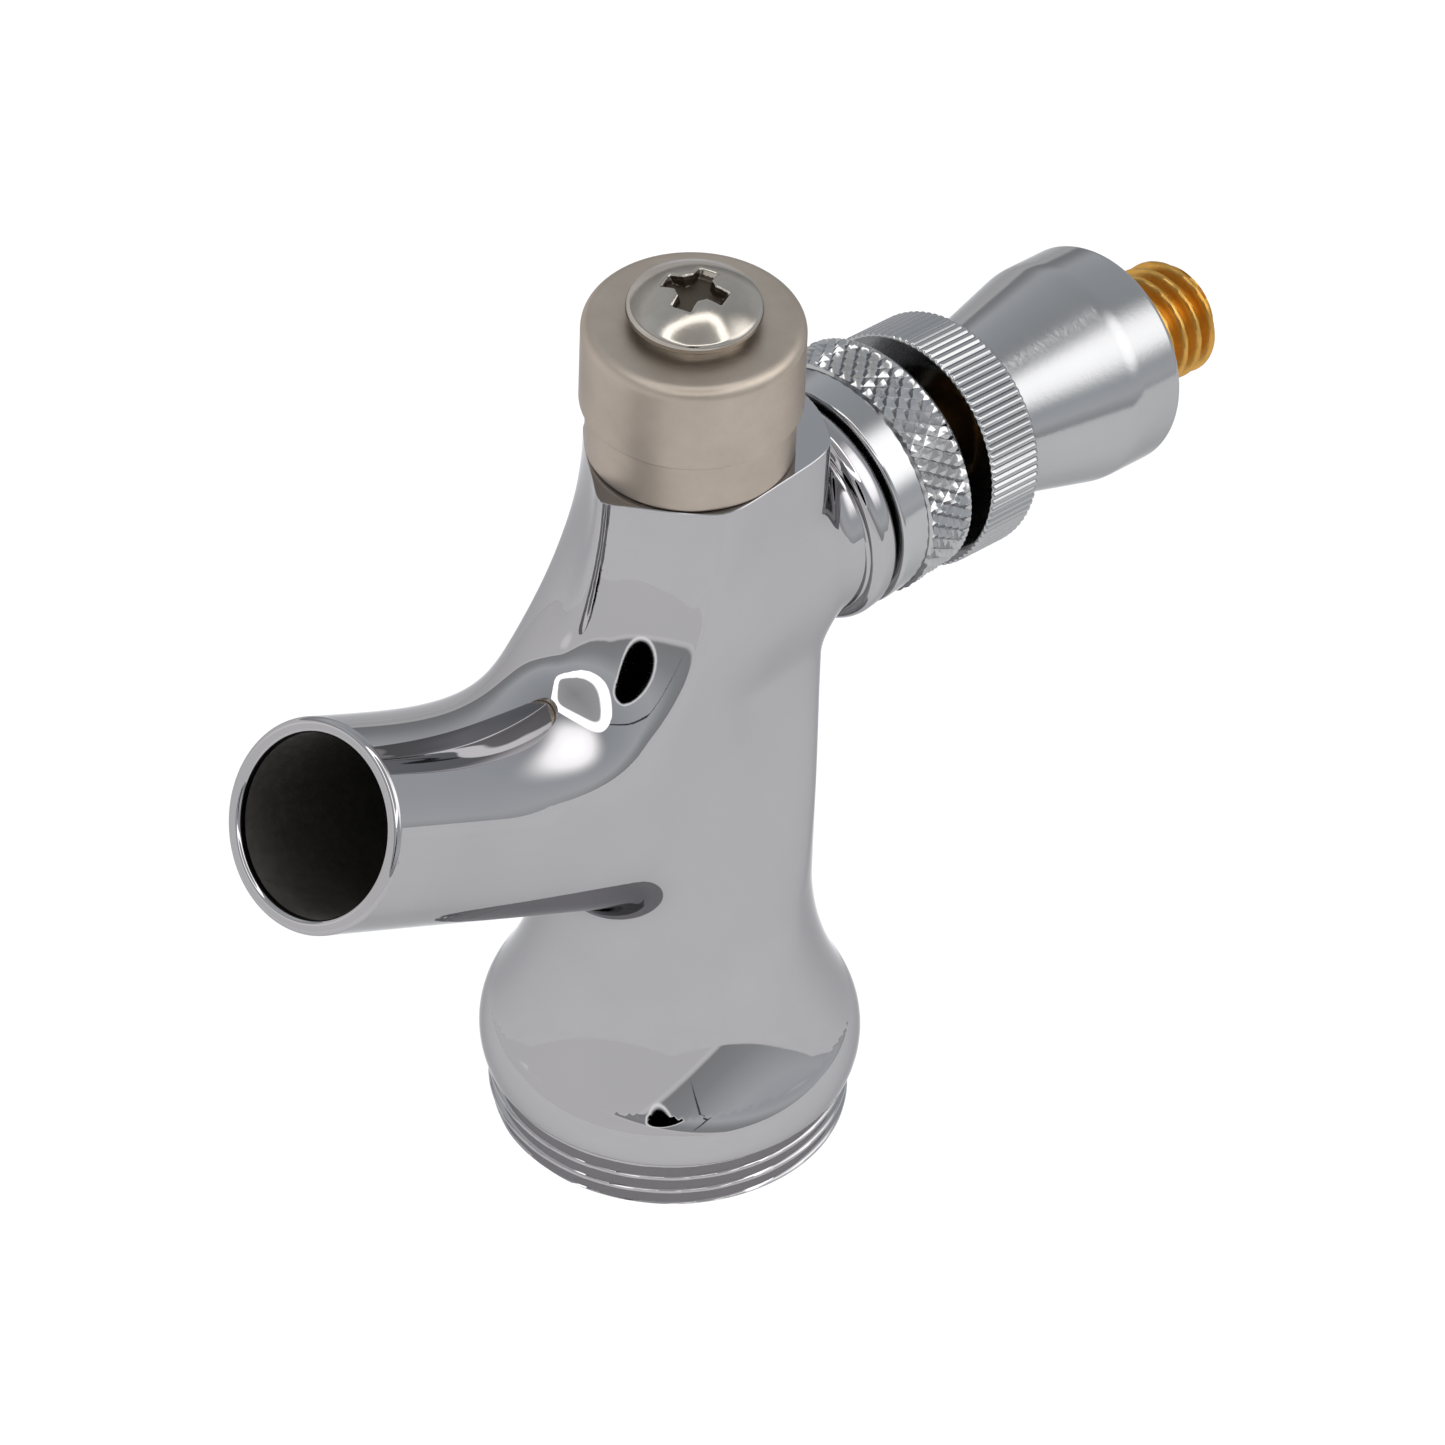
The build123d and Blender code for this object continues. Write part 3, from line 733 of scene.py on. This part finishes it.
def screw_field(p):
    """Pan head screw with a cross recess that narrows as it goes down, as a field."""
    rim, twist, recess_depth = 0.75, math.radians(20), 2.3
    shank_r, shank_middle, shank_half = 2.5, 76, 5.5
    arm_half, arm_reach, middle_r = 0.80, 2.75, 1.55
    half_taper, reach_taper, middle_taper = 0.10, 0.55, 0.2
    rim_round, under_round, arm_round, floor_round, lip_round = 0.3, 0.25, 0.1, 0.2, 0.14
    x, y, z = p[..., 0], p[..., 1], p[..., 2]
    rise = SCREW_TOP - HEAD_BASE - rim
    dome_r = (HEAD_R ** 2 + rise ** 2) / (2 * rise)
    across = np.hypot(x, y)
    dome = np.sqrt(across ** 2 + (z - SCREW_TOP + dome_r) ** 2) - dome_r
    head = smooth_max(smooth_max(dome, across - HEAD_R, rim_round), HEAD_BASE - z, under_round)
    c, s = math.cos(twist), math.sin(twist)
    u, v = c * x + s * y, c * y - s * x
    depth = SCREW_TOP - z
    half = arm_half - half_taper * depth
    reach = arm_reach - reach_taper * depth
    arm = np.minimum(smooth_max(np.abs(u) - half, np.abs(v) - reach, arm_round),
                     smooth_max(np.abs(v) - half, np.abs(u) - reach, arm_round))
    middle = across - (middle_r - middle_taper * depth)
    recess = smooth_max(np.minimum(arm, middle), depth - recess_depth, floor_round)
    head = smooth_max(head, -recess, lip_round)
    shank = np.maximum(across - shank_r, np.abs(z - shank_middle) - shank_half)
    return np.minimum(head, shank)


def cap_screw():
    """Screw that holds the cap on the shaft; the faces down in its recess take a second, darker material, which is
    painted shade.
    """
    low, high, step = (-5.7, -5.7, 70), (5.7, 5.7, 83.2), 0.12
    recess_r, rim_depth, dome_fall = 3.2, 0.45, 0.075
    verts, quads = field_mesh(screw_field, low, high, step, rounds=1)
    screw = make_object("cross_screw", verts, quads, 50)
    # faces down in the cross recess get the dark second material: painted shade
    for face in screw.data.polygons:
        spot = face.center / MM
        across = math.hypot(spot.x, spot.y)
        recess_top = SCREW_TOP - rim_depth - dome_fall * across ** 2
        face.material_index = int(across < recess_r and HEAD_BASE < spot.z < recess_top)
    return screw


# ---------------------------------------------------------------- materials
def new_material(name):
    """Material with a Principled shader, and a helper that adds linked nodes."""
    mat = bpy.data.materials.new(name)
    mat.use_nodes = True
    return mat, node_maker(mat.node_tree)


def node_maker(tree):
    """Function that adds a node, sets its properties and values, and links its inputs."""
    def add(kind, inputs=None, **props):
        node = tree.nodes.new(kind)
        for key, value in props.items():
            setattr(node, key, value)
        for key, value in (inputs or {}).items():
            if isinstance(value, bpy.types.NodeSocket):
                tree.links.new(value, node.inputs[key])
            else:
                node.inputs[key].default_value = value
        return node
    return add


def ramp(add, source, stops, mode="LINEAR"):
    """Colour ramp with (position, grey or colour) stops."""
    node = add("ShaderNodeValToRGB", {"Fac": source})
    node.color_ramp.interpolation = mode
    elements = node.color_ramp.elements
    while len(elements) < len(stops):
        elements.new(0.5)
    for element, (position, value) in zip(elements, stops):
        element.position = position
        element.color = (*value, 1) if isinstance(value, tuple) else (value, value, value, 1)
    return node.outputs["Color"]


def between(add, source, low, high, from_low=0.0):
    """Map a value, from 0 (or from_low) to 1, onto a range."""
    made = add("ShaderNodeMapRange", {"Value": source, "From Min": from_low, "To Min": low, "To Max": high})
    return made.outputs["Result"]


def noise(add, scale, detail=3.0, rough=0.55):
    """Noise in the object's own coordinates, in features per metre."""
    place = add("ShaderNodeTexCoord").outputs["Object"]
    made = add("ShaderNodeTexNoise", {"Vector": place, "Scale": scale, "Detail": detail,
                                      "Roughness": rough})
    return made.outputs["Fac"]


def drift(add, source, colours):
    """Colour that goes from one value to another over the middle of a noise's range."""
    return ramp(add, source, [(0.3, colours[0]), (0.7, colours[1])])


def metal(name, colours, roughness, grain, bump, blotch=60.0):
    """Metal whose colour drifts between two values in blotches, with fine grain in gloss and height."""
    grain_height = 2e-5
    mat, add = new_material(name)
    shader = mat.node_tree.nodes["Principled BSDF"]
    shader.inputs["Metallic"].default_value = 1.0
    shader.inputs["Specular Tint"].default_value = (*EDGE_TINT, 1)
    links = mat.node_tree.links
    links.new(drift(add, noise(add, blotch), colours), shader.inputs["Base Color"])
    fine = noise(add, grain, 4.0, 0.6)
    links.new(between(add, fine, *roughness), shader.inputs["Roughness"])
    height = add("ShaderNodeBump", {"Height": fine, "Strength": bump, "Distance": grain_height})
    links.new(height.outputs["Normal"], shader.inputs["Normal"])
    return mat


def plain(name, colours, roughness, grain, bump):
    """Rubber or plastic with a faint mottle."""
    grain_height = 5e-5
    mat, add = new_material(name)
    shader = mat.node_tree.nodes["Principled BSDF"]
    links = mat.node_tree.links
    fine = noise(add, grain)
    links.new(drift(add, fine, colours), shader.inputs["Base Color"])
    links.new(between(add, fine, *roughness), shader.inputs["Roughness"])
    height = add("ShaderNodeBump", {"Height": fine, "Strength": bump, "Distance": grain_height})
    links.new(height.outputs["Normal"], shader.inputs["Normal"])
    return mat


EDGE_TINT = (0.58, 0.58, 0.59)                           # the plating darkens towards its outline
# Name, two colours, two roughnesses, grain in features per metre, strength of the grain's height.
CHROME = metal("polished_chrome", ((0.385, 0.38, 0.39), (0.41, 0.40, 0.41)), (0.015, 0.05), 900, 0.03)
SATIN = metal("turned_chrome", ((0.385, 0.385, 0.39), (0.42, 0.42, 0.425)), (0.09, 0.16), 2600, 0.25)
# the knurl's chrome is a little lighter than the body's chrome: painted highlight
KNURLED_SHEEN = metal("knurled_chrome_sheen", ((0.40, 0.40, 0.405), (0.44, 0.44, 0.445)), (0.09, 0.17), 1800, 0.1)
PRESSED = metal("pressed_steel", ((0.40, 0.345, 0.29), (0.46, 0.40, 0.345)), (0.36, 0.50), 3200, 0.45,
                blotch=220)
SCREW_STEEL = metal("screw_steel", ((0.36, 0.33, 0.29), (0.44, 0.41, 0.37)), (0.10, 0.2), 2400, 0.25,
                    blotch=300)
SHAFT_STEEL = metal("shaft_steel", ((0.5, 0.5, 0.5), (0.56, 0.56, 0.55)), (0.2, 0.3), 2400, 0.3)
SPRING_STEEL = metal("spring_wire", ((0.42, 0.41, 0.4), (0.5, 0.49, 0.48)), (0.22, 0.34), 3000, 0.3)
BRASS = metal("turned_brass", ((0.50, 0.26, 0.05), (0.62, 0.36, 0.10)), (0.22, 0.38), 2600, 0.4, blotch=260)
BORE = metal("unpolished_bore", ((0.20, 0.19, 0.18), (0.28, 0.27, 0.25)), (0.45, 0.7), 1500, 0.6)
# painted shade: dark brownish metal for the faces down in the screw's cross recess
RECESS_SHADE = metal("screw_recess_painted_shade", ((0.07, 0.055, 0.045), (0.12, 0.10, 0.08)), (0.35, 0.55), 2600, 0.3)
RUBBER = plain("black_rubber", ((0.012, 0.012, 0.013), (0.02, 0.02, 0.021)), (0.5, 0.68), 1800, 0.4)
NYLON = plain("white_nylon", ((0.74, 0.73, 0.69), (0.8, 0.79, 0.76)), (0.34, 0.46), 1500, 0.2)


# ---------------------------------------------------------------- the pieces in place
casting_obj = dress(build_casting(), "body", "chrome_body", CHROME, "faucet_body")
casting_obj.data.materials.append(BORE)
dress(bonnet(), "body", "chrome_bonnet", KNURLED_SHEEN, "compression_bonnet")
dress(lever_collar(), "lever", "chrome_collar", SATIN, "lever_collar")
dress(lever_stem(), "lever", "brass", BRASS, "lever_stem")
dress(spring_cap(), "shaft", "stainless_pressed", PRESSED, "spring_cap")
dress(spring_cup(), "body", "stainless_pressed", PRESSED, "spring_cup")
screw_obj = dress(cap_screw(), "shaft", "stainless_screw", SCREW_STEEL, "cap_screw")
screw_obj.data.materials.append(RECESS_SHADE)

spring_obj = dress(coil_spring(), "body", "spring_steel", SPRING_STEEL, "closing_spring")
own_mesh(spring_obj)

CARRIED = {"shank_gasket": RUBBER, "shaft_oring": RUBBER, "seat_washer": RUBBER, "lever_bushing": NYLON,
           "ball_washer": NYLON, "shaft_guide_bushing": NYLON, "friction_washer": SHAFT_STEEL,
           "valve_shaft": SHAFT_STEEL, "seat_backing_washer": SHAFT_STEEL, "seat_screw": SCREW_STEEL,
           "cap_lock_washer": SCREW_STEEL}
for name, material in CARRIED.items():
    frame["nodes"][name].data.materials.clear()
    frame["nodes"][name].data.materials.append(material)


# ---------------------------------------------------------------- studio
FLOOR_GLOW = 0.50
WALL_UP = (0.30, 0.36, 1.0)  # the line between the reflected floor and walls lies across this direction
WALL_TONES = [(0.0, 1.0), (0.485, 0.98), (0.492, 1.12), (0.50, 1.0), (0.507, (0.44, 0.45, 0.46)),
              (0.57, (0.50, 0.52, 0.54)), (0.66, (0.78, 0.80, 0.83)), (0.78, (0.64, 0.68, 0.72)),
              (1.0, (0.50, 0.52, 0.54))]
# Each patch: its direction, the direction of its long side, two half sizes (tangents), the power of its
# outline, its tones from the middle out, and where its soft edge starts.
ROOM_PATCHES = [
    # soft light
    ((0.60, 0.56, 0.55), (0.6, -0.62, 0.0), 0.60, 0.62, 2.6, [(0.0, 2.8), (0.5, 2.2), (1.0, 0.9)], 0.42),
    # dark seam between two walls
    ((0.80, -0.27, 0.40), (-0.17, 0.5, 0.68), 0.62, 0.014, 2.0, [(0.0, 0.08), (1.0, 0.08)], 0.8),
    # square light with a bright rim
    ((0.30, -0.20, 1.0), (0.917, -0.40, 0.0), 0.60, 0.62, 5.0,
     [(0.0, 0.55), (0.64, 0.72), (0.70, 3.2), (1.0, 3.2)], 0.96),
    # pale screen
    ((-0.62, -0.75, 0.20), (0.7, -0.6, 0.3), 0.34, 0.16, 2.5, [(0.0, 1.3), (1.0, 1.1)], 0.5),
    # dark opening with a bright rim
    ((0.64, -0.67, 0.35), (0.105, 0.588, 0.802), 0.31, 0.17, 2.0,
     [(0.0, 0.0), (0.84, 0.0), (0.92, 1.6)], 0.93),
]
MIX_FACTOR, MIX_FIRST, MIX_SECOND, MIX_RESULT = 0, 6, 7, 2    # colour sockets of a Mix node


def add_camera():
    """Long lens, looking down at the spout side."""
    azimuth, elevation, roll = (math.radians(a) for a in (42.96, 42.13, 2.21))
    distance, aside, above = 833.0, 3.379, 2.736
    target = np.array([0.0, 0.0, 35.0])
    back = np.array([math.sin(azimuth) * math.cos(elevation), -math.cos(azimuth) * math.cos(elevation),
                     math.sin(elevation)])
    level = np.array([math.cos(azimuth), math.sin(azimuth), 0.0])
    up = np.cross(back, level)
    right = level * math.cos(roll) + up * math.sin(roll)
    up = up * math.cos(roll) - level * math.sin(roll)
    data = bpy.data.cameras.new("camera")
    data.lens, data.sensor_width, data.clip_start, data.clip_end = 268.0, 36.0, 0.01, 100.0
    camera = bpy.data.objects.new("camera", data)
    bpy.context.scene.collection.objects.link(camera)
    spot = (target + back * distance + right * aside + up * above) * MM
    camera.matrix_world = Matrix([(right[i], up[i], back[i], spot[i]) for i in range(3)] + [(0, 0, 0, 1)])
    bpy.context.scene.camera = camera


def add_floor():
    """Plain pale floor, well below the faucet."""
    size, height = 0.55, -0.10
    mesh = bpy.data.meshes.new("floor")
    corners = [(x * size, y * size, height) for x, y in ((-1, -1), (1, -1), (1, 1), (-1, 1))]
    mesh.from_pydata(corners, [], [(0, 1, 2, 3)])
    floor = bpy.data.objects.new("floor", mesh)
    bpy.context.scene.collection.objects.link(floor)
    mat, add = new_material("pale_floor")
    shader = mat.node_tree.nodes["Principled BSDF"]
    shader.inputs["Roughness"].default_value = 0.9
    shader.inputs["Specular IOR Level"].default_value = 0.0
    shader.inputs["Emission Strength"].default_value = FLOOR_GLOW
    mottle = noise(add, 8.0)
    pale = drift(add, mottle, ((0.48, 0.48, 0.485), (0.5, 0.5, 0.505)))
    glow = drift(add, mottle, ((0.98, 0.98, 0.99), (1.0, 1.0, 1.0)))
    mat.node_tree.links.new(pale, shader.inputs["Base Color"])
    mat.node_tree.links.new(glow, shader.inputs["Emission Color"])
    mesh.materials.append(mat)


def add_light(name, towards, distance, size, power):
    """Soft rectangular light, aimed at the faucet's middle from a direction; the metal doesn't show it."""
    middle = Vector((0, 0, 0.04))
    data = bpy.data.lights.new(name, "AREA")
    data.shape = "RECTANGLE"
    data.size, data.size_y = size
    data.energy = power
    light = bpy.data.objects.new(name, data)
    bpy.context.scene.collection.objects.link(light)
    aim = Vector(towards).normalized()
    light.location = aim * distance + middle
    light.rotation_euler = aim.to_track_quat("Z", "Y").to_euler()
    light.visible_glossy = False


def patch(add, way, centre, along, half_long, half_wide, power):
    """How far a direction lies from a patch of the room: 0 at its centre and 1 at its edge.

    A power of 2 gives an oval, and a high one a square with rounded corners.
    """
    least_ahead = 0.001
    centre = Vector(centre).normalized()
    along = Vector(along)
    along = (along - along.dot(centre) * centre).normalized()
    wide = centre.cross(along)

    def dot(direction):
        return add("ShaderNodeVectorMath", {0: way, 1: direction}, operation="DOT_PRODUCT").outputs["Value"]

    def math_node(kind, first, second=0.0):
        return add("ShaderNodeMath", {0: first, 1: second}, operation=kind).outputs["Value"]

    ahead = math_node("MAXIMUM", dot(centre), least_ahead)
    sides = []
    for direction, half in ((along, half_long), (wide, half_wide)):
        ratio = math_node("DIVIDE", dot(direction), ahead)
        scaled = math_node("ABSOLUTE", math_node("DIVIDE", ratio, half))
        sides.append(math_node("POWER", scaled, power))
    return math_node("POWER", math_node("ADD", *sides), 1 / power)


def add_room():
    """Studio seen in the metal: pale floor, grey walls with a dark seam, lights and a dark opening."""
    world = bpy.data.worlds.new("studio")
    bpy.context.scene.world = world
    world.use_nodes = True
    add = node_maker(world.node_tree)
    way = add("ShaderNodeTexCoord").outputs["Generated"]
    leaning = add("ShaderNodeVectorMath", {0: way, 1: Vector(WALL_UP).normalized()},
                  operation="DOT_PRODUCT")
    tone = ramp(add, between(add, leaning.outputs["Value"], 0.0, 1.0, from_low=-1.0), WALL_TONES)
    for centre, along, half_long, half_wide, power, colours, edge_starts in ROOM_PATCHES:
        edge = patch(add, way, centre, along, half_long, half_wide, power)
        colour = ramp(add, edge, colours)
        outside = ramp(add, edge, [(edge_starts, 0.0), (1.0, 1.0)], "EASE")
        mixed = add("ShaderNodeMix", data_type="RGBA")
        for source, socket in ((outside, MIX_FACTOR), (colour, MIX_FIRST), (tone, MIX_SECOND)):
            world.node_tree.links.new(source, mixed.inputs[socket])
        tone = mixed.outputs[MIX_RESULT]
    world.node_tree.links.new(tone, world.node_tree.nodes["Background"].inputs["Color"])


add_camera()
add_floor()
add_room()
add_light("fill", (-0.3, 0.1, 1.0), 1.3, (0.7, 0.7), 1.6)
bpy.context.scene.view_settings.view_transform = "Standard"
